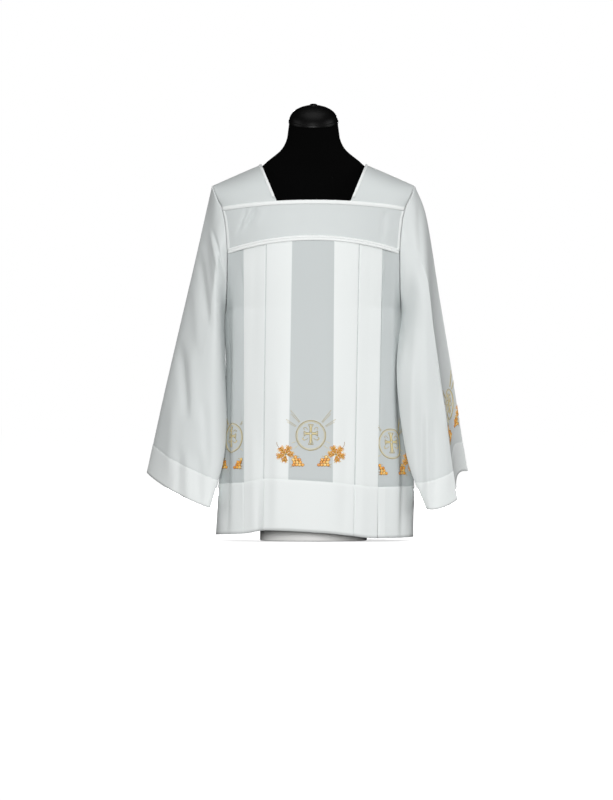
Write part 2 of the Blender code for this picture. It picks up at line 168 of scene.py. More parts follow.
# Sleeves, by their sections from the armhole to the cuff: the outer, front, inner and back
# points, how full the front outer quarter is, and how late its lower edge falls
SECTION_ROUND = 1.6
SECTION_COLUMNS = ("outer", "front", "inner", "back", "bulge", "late")
SLEEVE_SECTIONS = {
    -1: (
        ((238, 14, 722), (214, -70, 604), (196, -16, 470), (212, 64, 604), 1.2),
        ((263, 24, 612), (230, -64, 480), (194, -42, 372), (224, 58, 480), 1.5),
        ((294, 36, 480), (256, -56, 352), (191, -58, 262), (240, 54, 360), 1.7),
        ((331, 46, 320), (287, -50, 226), (199, -74, 172), (256, 54, 245), 1.6),
        ((369, 58, 150), (312, -44, 110), (228, -88, 74), (280, 50, 112), 1.5),
    ),
    1: (
        ((250, 8, 712), (243, -66, 604), (191, -34, 470), (218, 64, 604), 1.1),
        ((279, 14, 535), (264, -67, 468), (183, -66, 380), (222, 66, 456), 0.9),
        ((304, 18, 385), (283, -70, 332), (190, -76, 278), (238, 78, 326), 0.85),
        ((323, 22, 262), (300, -70, 206), (210, -84, 165), (262, 84, 215), 0.85, 1.8),
        ((341, 26, 153), (316, -68, 91), (248, -88, 72), (290, 86, 132), 0.75, 3.2),
    ),
}
SLEEVES = {
    side: [dict(zip(SECTION_COLUMNS, section)) for section in sections]
    for side, sections in SLEEVE_SECTIONS.items()
}
SLEEVE_START = 0.9
SLEEVE_LONG = 560  # about how far a sleeve runs above its cuff
SLEEVE_ROWS = 84
CUFF_ROWS = 12
LEAF_SLOPE = 0.165  # how fast the outer leaf comes inwards on its way up
FRONT_FOLD = math.pi / 2 - 0.06  # the turn round a sleeve at which its front fold lies
CUFF_BAND = 63

# Folds that the hang of the cloth makes, each along a line from one place to another as
# seen from the front: (side, height, side, height, half width, lift). A negative lift is
# a trough.
CHEST_FOLDS = (
    (-142, 738, -167, 678, 4.0, -4.6),
    (-139, 738, -156, 692, 3.5, 3.0),
    (-124, 736, -151, 684, 4.0, -4.6),
    (-110, 730, -128, 690, 8.0, 1.2),
    (156, 720, 151, 660, 6.0, -3.6),
    (168, 722, 163, 668, 6.0, 1.4),
    (60, 730, 72, 688, 14.0, -0.7),
    (-40, 728, -30, 684, 16.0, -0.7),
)
CHEST_BACK_FOLDS = (
    (140, 736, 158, 680, 5.0, -2.6),
    (-146, 734, -160, 676, 5.0, -2.2),
    (30, 730, 18, 690, 16.0, -0.8),
)
SKIRT_FOLDS = (
    (-172, 600, -176, 160, 7.0, 2.6),
    (-184, 470, -189, 20, 7.0, -4.0),
    (-200, 330, -206, 20, 7.0, 3.0),
    (174, 600, 171, 160, 7.0, 2.4),
    (187, 430, 190, 10, 6.0, -4.6),
    (201, 330, 206, 12, 6.0, 3.0),
    (-128, 640, -134, 330, 9.0, -1.2),
    (126, 640, 122, 300, 9.0, -1.2),
    (-20, 560, -36, 120, 26.0, -1.4),
    (34, 420, 42, 20, 22.0, 1.6),
    (-74, 330, -84, 15, 14.0, 1.6),
    (-96, 200, -100, 20, 8.0, -1.0),
    (74, 300, 66, 15, 12.0, -1.2),
    (110, 260, 108, 10, 10.0, 1.8),
    (-134, 240, -132, 12, 9.0, 1.8),
    (-107, 297, -60, 299, 3.0, -0.5),
)
SKIRT_BACK_FOLDS = (
    (-174, 600, -178, 160, 7.0, 2.4),
    (-187, 440, -192, 20, 7.0, -4.2),
    (176, 590, 173, 160, 7.0, 2.6),
    (190, 450, 194, 12, 7.0, -4.0),
    (10, 560, 22, 40, 24.0, -1.8),
    (-60, 330, -66, 15, 14.0, 1.8),
    (66, 300, 72, 15, 12.0, 1.4),
    (-120, 300, -124, 12, 10.0, -1.4),
    (124, 260, 118, 10, 10.0, -1.4),
)
# The right sleeve's, then the left one's, each with its own signs
SLEEVE_FOLDS = {
    -1: (
        (-220, 676, -196, 590, 3.2, -3.4),
        (-226, 676, -207, 584, 3.6, 2.2),
        (-236, 660, -226, 560, 7.0, -1.6),
        (-250, 620, -231, 474, 8.0, -3.6),
        (-262, 560, -252, 430, 10.0, 2.2),
        (-294, 425, -280, 280, 10.0, -4.6),
        (-268, 420, -262, 260, 12.0, 2.6),
        (-240, 300, -234, 170, 9.0, -2.4),
        (-308, 300, -318, 150, 12.0, 2.6),
        (-277, 190, -275, 80, 8.0, 3.2),
        (-296, 200, -299, 96, 8.0, -2.6),
        (-252, 190, -250, 80, 8.0, -2.6),
    ),
    1: (
        (214, 784, 219, 748, 3.0, -2.6),
        (208, 740, 196, 570, 7.0, 2.2),
        (232, 740, 240, 560, 8.0, -2.4),
        (214, 560, 206, 380, 9.0, -2.0),
        (246, 520, 250, 330, 10.0, 2.2),
        (218, 380, 214, 230, 9.0, 2.4),
        (236, 300, 238, 86, 8.0, -4.2),
        (262, 260, 266, 84, 8.0, -3.6),
        (250, 280, 252, 90, 7.0, 2.2),
        (284, 300, 292, 100, 9.0, 2.6),
        (272, 420, 276, 300, 8.0, -2.0),
    ),
}
SLEEVE_BACK_FOLDS = (
    (214, 700, 206, 560, 7.0, -3.0),
    (232, 640, 246, 470, 9.0, -3.4),
    (214, 520, 212, 360, 9.0, 2.4),
    (262, 500, 284, 330, 10.0, -3.6),
    (238, 420, 240, 240, 10.0, -3.2),
    (270, 330, 284, 120, 9.0, 3.0),
    (250, 240, 256, 90, 8.0, -3.4),
    (300, 300, 318, 150, 9.0, -2.6),
)


# Shape functions, in millimetres


def read_table(table, columns, name, at):
    """The named column of a table at a value of its first column, as a smooth curve."""
    col = columns.index(name)
    xs = [row[0] for row in table]
    ys = [row[col] for row in table]
    at = min(max(at, xs[0]), xs[-1])
    k = max(i for i in range(len(xs) - 1) if xs[i] <= at)
    slope = [(ys[i + 1] - ys[i]) / (xs[i + 1] - xs[i]) for i in range(len(xs) - 1)]

    def tangent(i):
        if i == 0 or i == len(xs) - 1:
            return slope[min(i, len(slope) - 1)]
        if slope[i - 1] * slope[i] <= 0:
            return 0.0
        return 2 * slope[i - 1] * slope[i] / (slope[i - 1] + slope[i])

    step = xs[k + 1] - xs[k]
    t = (at - xs[k]) / step
    rise = ys[k] * (1 + 2 * t) * (1 - t) ** 2 + ys[k + 1] * t * t * (3 - 2 * t)
    return rise + step * (tangent(k) * t * (1 - t) ** 2 - tangent(k + 1) * t * t * (1 - t))


def mix(a, b, t):
    return a + (b - a) * t


def soft(t):
    """0 below 0 and 1 above 1, with a soft step between."""
    t = min(max(t, 0.0), 1.0)
    return t * t * (3 - 2 * t)


def power(value, exponent):
    return math.copysign(abs(value) ** exponent, value)


def folded(folds, side, height):
    """How far the folds lift the cloth at a place."""
    total = 0.0
    for side_a, height_a, side_b, height_b, wide, lift in folds:
        run, rise = side_b - side_a, height_b - height_a
        long = math.hypot(run, rise)
        off = ((side - side_a) * rise - (height - height_a) * run) / long
        if abs(off) > 3 * wide:
            continue
        along = ((side - side_a) * run + (height - height_a) * rise) / long**2
        ends = soft((along + 0.2) / 0.45) * soft((1.2 - along) / 0.45)
        total += lift * ends * math.exp(-((off / wide) ** 2))
    return total


def arm_side(height):
    return read_table(ARM_LINE, ARM_COLUMNS, "side", height)


def arm_reach(height):
    away = min(abs(height - ARM_MIDDLE) / ARM_HALF, 1.0)
    return ARM_REACH * (1 - away**ARM_ROUND) ** (1 / ARM_ROUND)


def depth(height, face):
    return read_table(BODY, BODY_COLUMNS, "front" if face < 0 else "back", height)


def half_width(height, face):
    if height <= ARM_BOTTOM:
        return read_table(BODY, BODY_COLUMNS, "half_width", height)
    share = min(arm_reach(height) / depth(height, face), 0.95)
    return arm_side(height) / (1 - share**BODY_ROUND) ** (1 / BODY_ROUND)


def moved_out(side, y, height, wide, deep, level):
    nx = power(side / wide, BODY_ROUND - 1) / wide
    ny = power(y / deep, BODY_ROUND - 1) / deep
    size = math.hypot(nx, ny) or 1.0
    return Vector((side + level * nx / size, y + level * ny / size, height))


def body_point(side, height, face, level=0.0):
    """The garment's surface at a distance to the side; face is -1 in front and 1 behind."""
    wide = half_width(height, face)
    deep = depth(height, face)
    share = min(abs(side) / wide, 1.0)
    y = face * deep * (1 - share**BODY_ROUND) ** (1 / BODY_ROUND)
    return moved_out(side, y, height, wide, deep, level)


def body_turn(turn, height, face, level=0.0):
    """The same surface by its turn from the middle (0) to the side seam (90 degrees)."""
    wide = half_width(height, face)
    deep = depth(height, face)
    side = wide * power(math.sin(turn), 2 / BODY_ROUND)
    y = face * deep * power(math.cos(turn), 2 / BODY_ROUND)
    return moved_out(side, y, height, wide, deep, level)


def turn_of(side, height, face):
    share = min(abs(side) / half_width(height, face), 1.0)
    return math.copysign(math.asin(share ** (BODY_ROUND / 2)), side)


def seam_height(share, middle, drop):
    return middle - drop * share * share


# Finishes

SINGLE_PLY = "#C4CACA"
MANY_PLIES = "#EBEFEE"


def linear(code):
    """A colour from its sRGB hex code."""
    parts = [int(code[i : i + 2], 16) / 255 for i in (1, 3, 5)]
    made = [c / 12.92 if c <= 0.04045 else ((c + 0.055) / 1.055) ** 2.4 for c in parts]
    return (*made, 1.0)


def add_node(tree, kind, settings=None, inputs=None):
    """A node with its settings, and its inputs set to values or linked to outputs."""
    node = tree.nodes.new(kind)
    for key, value in (settings or {}).items():
        setattr(node, key, value)
    for key, value in (inputs or {}).items():
        if isinstance(value, bpy.types.NodeSocket):
            tree.links.new(value, node.inputs[key])
        else:
            node.inputs[key].default_value = value
    return node


def new_finish(name, colour, roughness, **shader_inputs):
    made = bpy.data.materials.new(name)
    made.use_nodes = True
    shader = made.node_tree.nodes["Principled BSDF"]
    shader.inputs["Base Color"].default_value = linear(colour)
    shader.inputs["Roughness"].default_value = roughness
    for key, value in shader_inputs.items():
        shader.inputs[key.replace("_", " ")].default_value = value
    return made, made.node_tree, shader


def grain(tree, shader, scale, strength, distance):
    """A fine irregular relief, fixed to the piece."""
    place = add_node(tree, "ShaderNodeTexCoord")
    spots = add_node(
        tree, "ShaderNodeTexNoise", {}, {"Vector": place.outputs["Object"], "Scale": scale}
    )
    relief = {"Height": spots.outputs["Fac"], "Strength": strength, "Distance": distance}
    bump = add_node(tree, "ShaderNodeBump", {}, relief)
    tree.links.new(bump.outputs[0], shader.inputs["Normal"])


def woven_polyester():
    """Smooth plain-woven polyester. One ply lets the black form grey it, three plies are
    white. A low sheen softens its edges, and the weave is a faint even grain."""
    made, tree, shader = new_finish(
        "woven polyester", "#D9DEDE", 0.55, IOR=1.5, Sheen_Weight=0.12, Sheen_Roughness=0.4
    )
    plies = add_node(tree, "ShaderNodeAttribute", {"attribute_name": "plies"})
    tones = {0: plies.outputs["Fac"], 6: linear(SINGLE_PLY), 7: linear(MANY_PLIES)}
    tone = add_node(tree, "ShaderNodeMix", {"data_type": "RGBA"}, tones)
    tree.links.new(tone.outputs[2], shader.inputs["Base Color"])
    place = add_node(tree, "ShaderNodeUVMap", {"uv_map": "cloth"})
    # Threads are 0.25 mm apart on the real cloth and are drawn 1.2 mm apart, to show
    threads = {"Vector": place.outputs[0], "Scale": 0.001 / 0.0012 * 314, "Distortion": 0.4}
    waves = [
        add_node(tree, "ShaderNodeTexWave", {"bands_direction": way}, threads).outputs["Fac"]
        for way in ("X", "Y")
    ]
    weave = add_node(
        tree, "ShaderNodeMath", {"operation": "MULTIPLY"}, {0: waves[0], 1: waves[1]}
    )
    relief = {"Height": weave.outputs[0], "Strength": 0.08, "Distance": 0.0003}
    bump = add_node(tree, "ShaderNodeBump", {}, relief)
    tree.links.new(bump.outputs[0], shader.inputs["Normal"])
    return made


def woven_tape():
    """Tight white tape and turned edges of several plies, a little brighter than the cloth."""
    made, _, _ = new_finish(
        "white woven tape", "#EFF2F1", 0.5, IOR=1.5, Sheen_Weight=0.1, Sheen_Roughness=0.4
    )
    return made


def satin_thread(name, colour):
    """Rayon embroidery thread in satin stitch: a soft gloss that shifts along each stitch."""
    made, tree, shader = new_finish(
        f"satin thread {name}", colour, 0.38, IOR=1.5, Sheen_Weight=0.2
    )
    # Stitches are 0.4 mm apart and are drawn 1 mm apart
    grain(tree, shader, 1000.0, 0.3, 0.0003)
    return made


def knitted_cover():
    """Black cotton knit drawn tight over the form: matt, with a faint fuzz."""
    made, tree, shader = new_finish(
        "black knitted cotton cover", "#030303", 0.9, IOR=1.3, Specular_IOR_Level=0.1
    )
    # Knit loops are about 1 mm apart
    grain(tree, shader, 900.0, 0.25, 0.0004)
    return made


def lacquered_wood():
    """Turned wood under black lacquer: smooth, with a clear soft highlight."""
    made, _, _ = new_finish(
        "black lacquered wood", "#070707", 0.42, IOR=1.5, Specular_IOR_Level=0.12
    )
    return made


def powder_coated_steel():
    """Pale powder-coated steel: even and slightly pebbled, with a wide dull highlight."""
    made, tree, shader = new_finish("pale powder-coated steel", "#F4F4F2", 0.5, IOR=1.5)
    # Orange-peel pebbles of the coat are about 1.5 mm across
    grain(tree, shader, 650.0, 0.08, 0.0002)
    return made


CLOTH_FINISH = woven_polyester()
TAPE_FINISH = woven_tape()


# Sheets


def lay_sheet(name, rows, plies, finish, thick, nodes, closed=False):
    """A sheet of cloth through rows of points, with a number of plies at each point."""
    count = len(rows[0])
    points = [p * MM for row in rows for p in row]
    faces, corners = [], []
    across = [[0.0] for _ in rows]
    for r, row in enumerate(rows):
        for i in range(count):
            gap = (row[(i + 1) % count] - row[i]).length * MM
            across[r].append(across[r][-1] + gap)
    down = [0.0]
    middle = count // 2
    for row, above in zip(rows, rows[1:]):
        down.append(down[-1] + (above[middle] - row[middle]).length * MM)
    for r in range(len(rows) - 1):
        for i in range(count if closed else count - 1):
            j = (i + 1) % count
            low, high = r * count, (r + 1) * count
            faces.append((low + i, low + j, high + j, high + i))
            corners += [
                (across[r][i], down[r]),
                (across[r][i + 1], down[r]),
                (across[r + 1][i + 1], down[r + 1]),
                (across[r + 1][i], down[r + 1]),
            ]
    mesh = bpy.data.meshes.new(name)
    mesh.from_pydata(points, [], faces)
    mesh.uv_layers.new(name="cloth").data.foreach_set("uv", [c for uv in corners for c in uv])
    tone = mesh.attributes.new("plies", "FLOAT", "POINT")
    tone.data.foreach_set("value", [p for row in plies for p in row])
    mesh.shade_smooth()
    piece = bpy.data.objects.new(name, mesh)
    bpy.context.scene.collection.objects.link(piece)
    mesh.materials.append(finish)
    wall = piece.modifiers.new("thickness", "SOLIDIFY")
    wall.thickness = thick * MM
    wall.offset = 0
    wall.use_quality_normals = True
    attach(piece, "root")
    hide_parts(*nodes)
    return piece


def turned_over(rows, plies, face):
    """Rows in the order that makes their faces point outwards."""
    if face > 0:
        return [row[::-1] for row in rows], [row[::-1] for row in plies]
    return rows, plies


# Skirt panels


def fold_turn(side, level_from, level_to, outward):
    """The cloth's tight turn round a pleat's edge, from one level to another."""
    radius = abs(level_to - level_from) / 2
    middle = (level_from + level_to) / 2
    sign = 1 if level_to > level_from else -1
    points = []
    for step in (0.1, 0.3, 0.5, 0.7, 0.9):
        around = math.pi * (step - 0.5)
        reach = radius * math.cos(around) * (1 if outward else -1)
        points.append((side + reach, middle + sign * radius * math.sin(around)))
    return points


def opened(side, height, hidden):
    """How far the cloth under open pleats has dropped away from them."""
    total = 0.0
    for tuck, edge, gap, opens, valley in hidden:
        if side < edge:
            near = soft((side - tuck) / (edge - tuck))
        else:
            near = math.exp(-(((side - edge) / OPEN_WIDE) ** 2))
            total += CREASE * math.exp(-(((side - edge) / CREASE_WIDE) ** 2))
            held = soft((VALLEY_TOP - height) / VALLEY_TOP_FADE)
            held *= soft((height - VALLEY_LOW) / VALLEY_LOW_FADE)
            total += valley * held * math.exp(-(((side - edge) / VALLEY_WIDE) ** 2))
        total += gap * near * soft((opens - height) / opens)
    return total


def pleat_path(pleats, share, height):
    """A half panel's cloth from the middle to past its pleats, as (side, level, plies)."""
    path = []
    level = 0.0
    hidden = []
    start, plies = 0.0, 0.0
    for pleat in pleats:
        edge = mix(pleat["edge_hem"], pleat["edge_top"], share)
        tuck = mix(pleat["tuck_hem"], pleat["tuck_top"], share)
        below = level - PLEAT_PITCH
        lowest = below - PLEAT_PITCH
        if not hidden:
            for i in range(12):
                path.append((mix(start, tuck - 0.7, i / 11), level, plies))
        else:
            for t in (0.35, 0.7):
                side = mix(hidden[-1][1], tuck, t)
                path.append((side, level - opened(side, height, hidden), 0.0))
        for i in range(15):
            side = mix(tuck + 0.7, edge, i / 14)
            path.append((side, level - opened(side, height, hidden), 1.0))
        drop = opened(edge, height, hidden)
        path += [(s, at - drop, 1.0) for s, at in fold_turn(edge, level, below, True)]
        for i in range(6):
            side = mix(edge, tuck, i / 5)
            path.append((side, below - opened(side, height, hidden), 1.0))
        drop = opened(tuck, height, hidden)
        path += [(s, at - drop, 1.0) for s, at in fold_turn(tuck, below, lowest, False)]
        valley = VALLEY if hidden else 0.0
        hidden.append((tuck, edge, pleat["gap"], pleat["opens"], valley))
        for i in range(8):
            side = mix(tuck, edge, i / 7)
            path.append((side, lowest - opened(side, height, hidden), 1.0))
        level = lowest
    for i in range(1, 9):
        side = mix(edge, SIDE_START, i / 9)
        path.append((side, level - opened(side, height, hidden), 0.0))
    return path, level, hidden


def side_columns(face):
    """The cloth past the pleats, as (turn at its top edge, height of that edge, risen)."""
    tape_end = arm_side(LOWER_SEAM - LOWER_DROP)
    columns = []
    for i in range(16):
        side = mix(SIDE_START, tape_end - ARM_INSET, i / 15)
        height = seam_height(side / tape_end, LOWER_SEAM, LOWER_DROP)
        columns.append((turn_of(side, height, face), height, soft(i / 15)))
    steps = 32
    for i in range(1, steps + 1):
        height = mix(LOWER_SEAM - LOWER_DROP, ARM_BOTTOM, (i / steps) ** 0.8)
        share = (arm_reach(height) + ARM_INSET) / depth(height, face)
        columns.append((math.acos(share ** (BODY_ROUND / 2)), height, 1.0))
    return columns


def hem_height(side):
    return read_table(HEM, HEM_COLUMNS, "height", side)


def panel_heights():
    """Rows of a panel: 0 is the hem, 1 the top of its band and 2 the panel's top edge."""
    rows = [i / BAND_ROWS for i in range(BAND_ROWS)]
    rows += [1 - 1.6 / HEM_BAND, 1 - 0.6 / HEM_BAND]
    rows += [1 + 0.6 / PANEL_LONG, 1 + 1.8 / PANEL_LONG]
    return rows + [1 + (i / PANEL_ROWS) for i in range(1, PANEL_ROWS + 1)]


def up_panel(row, hem, top):
    if row <= 1:
        return hem + HEM_BAND * row
    return mix(hem + HEM_BAND, top, row - 1)


def hem_relief(above):
    """The turned-up band stands a little proud, with a line of stitches at its top."""
    dip = -STITCH_DIP * math.exp(-((above / STITCH) ** 2))
    return dip + (HEM_PROUD if above < 0 else 0.0)


def panel_half(row, face, hand, columns):
    """One half of a panel's row, with its plies. hand is 1 on the wearer's left."""
    points, plies = [], []
    folds = SKIRT_FOLDS if face < 0 else SKIRT_BACK_FOLDS
    tape_end = arm_side(LOWER_SEAM - LOWER_DROP)
    middle_top = LOWER_SEAM - SEAM_GAP
    rough = up_panel(row, HEM_MIDDLE, middle_top)
    share = (rough - HEM_MIDDLE) / (middle_top - HEM_MIDDLE)
    path, lowest, hidden = pleat_path(PLEATS[hand], share, rough)
    for side, level, ply in path:
        hem = hem_height(hand * side)
        top = seam_height(side / tape_end, LOWER_SEAM, LOWER_DROP) - SEAM_GAP
        height = up_panel(row, hem, top)
        above = height - hem - HEM_BAND
        lift = level + folded(folds, hand * side, height) + hem_relief(above)
        points.append(body_point(side, height, face, lift))
        plies.append(1.0 if above < 0 else ply)
    for i, (turn_top, top, risen) in enumerate(columns):
        hem = hem_height(hand * mix(SIDE_START, BODY[0][1], (i + 1) / len(columns)))
        height = up_panel(row, hem, top - SEAM_GAP)
        up = (height - hem) / (top - SEAM_GAP - hem)
        first_top = turn_of(SIDE_START, top, face)
        part_top = (turn_top - first_top) / (math.pi / 2 - first_top)
        part = mix(i / (len(columns) - 1), part_top, up)
        turn = mix(turn_of(SIDE_START, height, face), math.pi / 2, part)
        flat = body_turn(turn, height, face)
        above = height - hem - HEM_BAND
        lift = lowest * (1 - risen) - opened(flat.x, height, hidden) + hem_relief(above)
        at_seam = soft((1 - part) / 0.12)
        lift += folded(folds, hand * flat.x, height) * (at_seam if part < 1 else 0.0)
        points.append(body_turn(turn, height, face, lift))
        plies.append(SIDE_HEM_PLY if above < 0 else 0.0)
    points[-1].y += face * SEAM_GAP / 2
    for p in points:
        if hand > 0:
            near = math.exp(-(((p.z - FLARE_HEIGHT) / FLARE_TALL) ** 2))
            p.x += FLARE * max(p.x - FLARE_START, 0) * near
        p.x *= hand
    return points, plies


def make_panel(word, face):
    columns = side_columns(face)
    rows, plies = [], []
    for row in panel_heights():
        right, right_plies = panel_half(row, face, -1, columns)
        left, left_plies = panel_half(row, face, 1, columns)
        rows.append(right[:0:-1] + left)
        plies.append(right_plies[:0:-1] + left_plies)
    rows, plies = turned_over(rows, plies, face)
    name = f"skirt_{word}"
    return lay_sheet(name, rows, plies, CLOTH_FINISH, CLOTH, [f"{word}_panel"])


# Chest bands, tapes and shoulder pieces


def chest_level(share, height, face):
    folds = CHEST_FOLDS if face < 0 else CHEST_BACK_FOLDS
    from_edge = (1 - abs(share)) * arm_side(height)
    allowance = ALLOWANCE_PROUD * soft((ALLOWANCE - from_edge) / 1.2)
    free = soft((seam_height(share, UPPER_SEAM, UPPER_DROP) - height) / 16)
    free *= soft(from_edge / 12)
    return folded(folds, share * arm_side(height), height) * free + allowance


def make_chest(word, face):
    edge = 1 - 0.5 / arm_side(ARM_MIDDLE)
    shares = [edge * mix(-0.96, 0.96, i / 96) for i in range(97)]
    rim = [edge * (1 - s) for s in (0, 0.005, 0.01, 0.016, 0.022, 0.025, 0.028, 0.032)]
    shares = [-s for s in rim] + shares + rim[::-1]
    rows, plies = [], []
    for i in range(29):
        row, ply = [], []
        for share in shares:
            low = seam_height(share, LOWER_SEAM, LOWER_DROP) + SEAM_GAP
            high = seam_height(share, UPPER_SEAM, UPPER_DROP) - SEAM_GAP
            height = mix(low, high, i / 28)
            level = chest_level(share, height, face)
            row.append(body_point(share * arm_side(height), height, face, level))
            ply.append(1.0 if abs(share) > CHEST_RIM else CHEST_PLY)
        rows.append(row)
        plies.append(ply)
    rows, plies = turned_over(rows, plies, face)
    name = f"chest_{word}"
    return lay_sheet(name, rows, plies, CLOTH_FINISH, CLOTH, [f"yoke_{word}"])


def make_tape(word, which, middle, drop, half, humps, face):
    """A tape along a seam. Its rows of stitches leave one or two rounded ridges."""
    shares = [TAPE_REACH * (i / 70 - 1) for i in range(141)]
    base = (CLOTH + TAPE_CLOTH) / 2 + 0.15
    rows, plies = [], []
    for k in range(9 * humps + 1):
        t = k / (9 * humps)
        row = []
        for share in shares:
            seam = seam_height(share, middle, drop)
            height = seam + mix(-half, half, t)
            level = base + TAPE_RIDGE * abs(math.sin(humps * math.pi * t)) ** 0.8
            level += chest_level(share, seam, face)
            row.append(body_point(share * arm_side(height), height, face, level))
        rows.append(row)
        plies.append([1.0] * len(row))
    rows, plies = turned_over(rows, plies, face)
    node = f"tape_{word}_{which}"
    return lay_sheet(f"{node}_band", rows, plies, TAPE_FINISH, TAPE_CLOTH, [node])


def shoulder_point(side, across, lift):
    """The shoulder piece: across runs from neckline (0) to armhole (1), and lift from the
    front tape (-1) over the ridge (0) to the back tape (1)."""
    face = -1 if lift < 0 else 1
    away = abs(lift)
    down = math.sin(away * math.pi / 2)
    neck_low = UPPER_SEAM + SEAM_GAP
    arm_low = UPPER_SEAM - UPPER_DROP + SEAM_GAP
    neck_front = body_point(NECK_BOTTOM, neck_low, face).y
    neck_up = math.cos(away * math.pi / 2) ** (2 / SHOULDER_ROUND)
    neck_x = mix(NECK_BOTTOM, NECK_TOP, neck_up)
    neck_y = neck_front * down ** (2 / SHOULDER_ROUND)
    neck_z = mix(neck_low, RIDGE_NECK, neck_up)
    arm_turn = math.acos(((arm_low - ARM_MIDDLE) / ARM_HALF) ** (ARM_ROUND / 2)) * away
    arm_z = ARM_MIDDLE + ARM_HALF * math.cos(arm_turn) ** (2 / ARM_ROUND)
    arm_y = face * ARM_REACH * math.sin(arm_turn) ** (2 / ARM_ROUND)
    x = mix(neck_x, arm_side(arm_z), across)
    y = mix(neck_y, arm_y, across)
    z = mix(neck_z, arm_z, across)
    seam_x = mix(NECK_BOTTOM, arm_side(arm_low), across)
    seam_z = seam_height(seam_x / arm_side(arm_low), UPPER_SEAM, UPPER_DROP) + SEAM_GAP
    chord_y = mix(neck_front, face * arm_reach(arm_low), across)
    chord_z = mix(neck_low, arm_low, across)
    y += (body_point(seam_x, chord_z, face).y - chord_y) * down**2
    z += (seam_z - chord_z) * down**2
    return Vector((side * x, y, z))


def shoulder_normal(side, across, lift):
    step = 0.01
    a = shoulder_point(side, across + step, lift) - shoulder_point(side, across - step, lift)
    b = shoulder_point(side, across, lift + step) - shoulder_point(side, across, lift - step)
    normal = a.cross(b).normalized()
    outward = Vector((0, math.sin(lift * math.pi / 2), math.cos(lift * math.pi / 2)))
    return normal if normal.dot(outward) > 0 else -normal


def make_shoulder(word, side):
    rows, plies = [], []
    reach = 1 - 0.5 / (ARM_TOP - NECK_TOP)
    for k in range(57):
        lift = mix(-1, 1, k / 56)
        row, ply = [], []
        for i in range(29):
            across = reach * i / 28
            wave = math.sin(math.pi * across) * math.sin(math.pi * 3 * (lift + 0.1))
            sag = SHOULDER_SAG * wave * soft((1 - abs(lift)) / 0.2)
            sag *= soft((1 - across) / 0.2)
            out = shoulder_normal(side, min(max(across, 0.01), 0.99), lift * 0.99)
            row.append(shoulder_point(side, across, lift) + out * sag * soft(across / 0.15))
            ply.append(SHOULDER_PLY)
        rows.append(row if side > 0 else row[::-1])
        plies.append(ply)
    node = f"yoke_shoulder_{word}"
    return lay_sheet(
        f"shoulder_{word}", rows, plies, CLOTH_FINISH, CLOTH, [node]
    )


def make_neck_edge(word, side):
    rows, plies = [], []
    base = (CLOTH + TAPE_CLOTH) / 2 + 0.1
    for k in range(61):
        lift = mix(-EDGE_REACH, EDGE_REACH, k / 60)
        row = []
        for i in range(8):
            t = i / 7
            proud = base + EDGE_RIDGE * math.sin(math.pi * t)
            out = shoulder_normal(side, 0.02, lift) * proud
            row.append(shoulder_point(side, NECK_EDGE_SHARE * t, lift) + out)
        rows.append(row if side > 0 else row[::-1])
        plies.append([1.0] * len(row))
    node = f"neck_edge_{word}"
    return lay_sheet(f"{node}_band", rows, plies, TAPE_FINISH, TAPE_CLOTH, [node])


# Sleeves


def armhole_point(turn):
    """The armhole loop; turn 0 is the shoulder tip, 90 degrees the front."""
    c = power(math.cos(turn), 2 / ARM_ROUND)
    s = power(math.sin(turn), 2 / ARM_ROUND)
    height = ARM_MIDDLE + ARM_HALF * c
    return Vector((arm_side(height), -ARM_REACH * s, height))


def section_point(section, turn):
    exponent = section["bulge"] if 0 < turn < math.pi / 2 else SECTION_ROUND
    c = power(math.cos(turn), 2 / exponent)
    s = power(math.sin(turn), 2 / exponent)
    outer = Vector(section["outer"])
    inner = Vector(section["inner"])
    middle = (outer + inner) / 2
    ahead = Vector(section["front"]) - middle
    behind = Vector(section["back"]) - middle
    point = middle + (outer - middle) * c + (ahead * s if s > 0 else behind * -s)
    if "late" in section and 0 < turn < math.pi / 2:
        # The outer leaf's lower edge stays level and drops only behind the front fold
        fall = section["front"][2] - outer.z
        fallen = point.z - outer.z
        rise = fall * ((fallen / fall) ** section["late"]) - fallen
        point += Vector((-LEAF_SLOPE * rise, 0, rise))
    return point


def sleeve_line(sections, turn):
    """The points that a sleeve passes through at a turn, from the armhole to the cuff."""
    start = armhole_point(turn) + Vector((SLEEVE_START, 0, 0))
    return [start] + [section_point(section, turn) for section in sections]


def along(line, share):
    """A smooth curve through a line of points."""
    at = share * (len(line) - 1)
    k = min(int(at), len(line) - 2)
    t = at - k
    before = line[k - 1] if k > 0 else line[0] * 2 - line[1]
    after = line[k + 2] if k + 2 < len(line) else line[-1] * 2 - line[-2]
    a, b = line[k], line[k + 1]
    point = a * ((1 + 2 * t) * (1 - t) ** 2) + b * (t * t * (3 - 2 * t))
    turn_a, turn_b = (b - before) / 2, (after - a) / 2
    return point + turn_a * (t * (1 - t) ** 2) - turn_b * (t * t * (1 - t))


def cuff_share(line):
    """The share of a sleeve's length at which its cuff band begins."""
    far, last = 0.0, along(line, 1.0)
    for step in range(1, 200):
        share = 1 - step / 400
        here = along(line, share)
        far += (here - last).length
        last = here
        if far >= CUFF_BAND:
            return share
    return 0.8


def sleeve_turns():
    """Turns round a sleeve, closer together at its edges, where the cloth turns sharply."""
    turns = []
    for quarter in range(4):
        for i in range(34):
            t = i / 34
            eased = mix(t, soft(t), 0.35)
            turns.append((quarter + eased) * math.pi / 2)
    return turns


